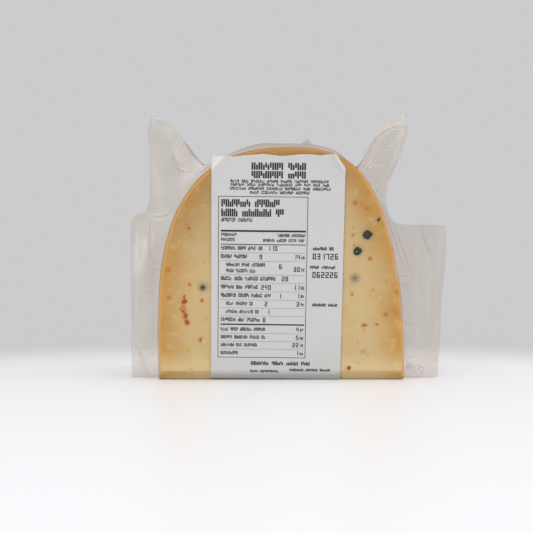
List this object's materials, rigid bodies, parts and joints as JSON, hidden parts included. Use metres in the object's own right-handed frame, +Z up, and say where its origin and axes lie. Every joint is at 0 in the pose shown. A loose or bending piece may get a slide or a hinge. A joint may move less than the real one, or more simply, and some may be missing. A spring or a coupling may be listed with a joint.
{
  "type": "cheese wedge",
  "caption": "Wedge of spiced semi-hard cheese with a D-shaped cut face, sealed in a clear vacuum pouch with side fins and a paper scale label, standing on its nose.",
  "frame": {"origin": "middle of the flat underside of the nose, on the surface that the wedge stands on", "axes": "+X across the cut face to the right, seen from the front; +Y from the labelled front face to the back face; +Z up from the nose to the rim"},
  "size_m": [0.1417, 0.053, 0.1182],
  "materials": {
    "cheese": "satin",
    "peppercorn": "matte",
    "chili": "matte",
    "film": "gloss",
    "label": "matte"
  },
  "bodies": {
    "root": {"cheese": "cheese", "chili_flake_back_1": "chili", "chili_flake_back_10": "chili", "chili_flake_back_11": "chili", "chili_flake_back_12": "chili", "chili_flake_back_2": "chili", "chili_flake_back_3": "chili", "chili_flake_back_4": "chili", "chili_flake_back_5": "chili", "chili_flake_back_6": "chili", "chili_flake_back_7": "chili", "chili_flake_back_8": "chili", "chili_flake_back_9": "chili", "chili_flake_front_1": "chili", "chili_flake_front_10": "chili", "chili_flake_front_11": "chili", "chili_flake_front_12": "chili", "chili_flake_front_13": "chili", "chili_flake_front_14": "chili", "chili_flake_front_15": "chili", "chili_flake_front_16": "chili", "chili_flake_front_17": "chili", "chili_flake_front_18": "chili", "chili_flake_front_2": "chili", "chili_flake_front_3": "chili", "chili_flake_front_4": "chili", "chili_flake_front_5": "chili", "chili_flake_front_6": "chili", "chili_flake_front_7": "chili", "chili_flake_front_8": "chili", "chili_flake_front_9": "chili", "label": "label", "pepper_bit_back_1": "peppercorn", "pepper_bit_back_2": "peppercorn", "pepper_bit_front_1": "peppercorn", "pepper_bit_front_2": "peppercorn", "pepper_bit_front_3": "peppercorn", "peppercorn_back_1": "peppercorn", "peppercorn_back_2": "peppercorn", "peppercorn_back_3": "peppercorn", "peppercorn_back_4": "peppercorn", "peppercorn_back_5": "peppercorn", "peppercorn_back_6": "peppercorn", "peppercorn_front_1": "peppercorn", "peppercorn_front_2": "peppercorn", "peppercorn_front_3": "peppercorn", "peppercorn_front_4": "peppercorn", "peppercorn_front_5": "peppercorn", "peppercorn_front_6": "peppercorn", "pouch_back_film": "film", "pouch_front_film": "film"}
  },
  "joints": []
}
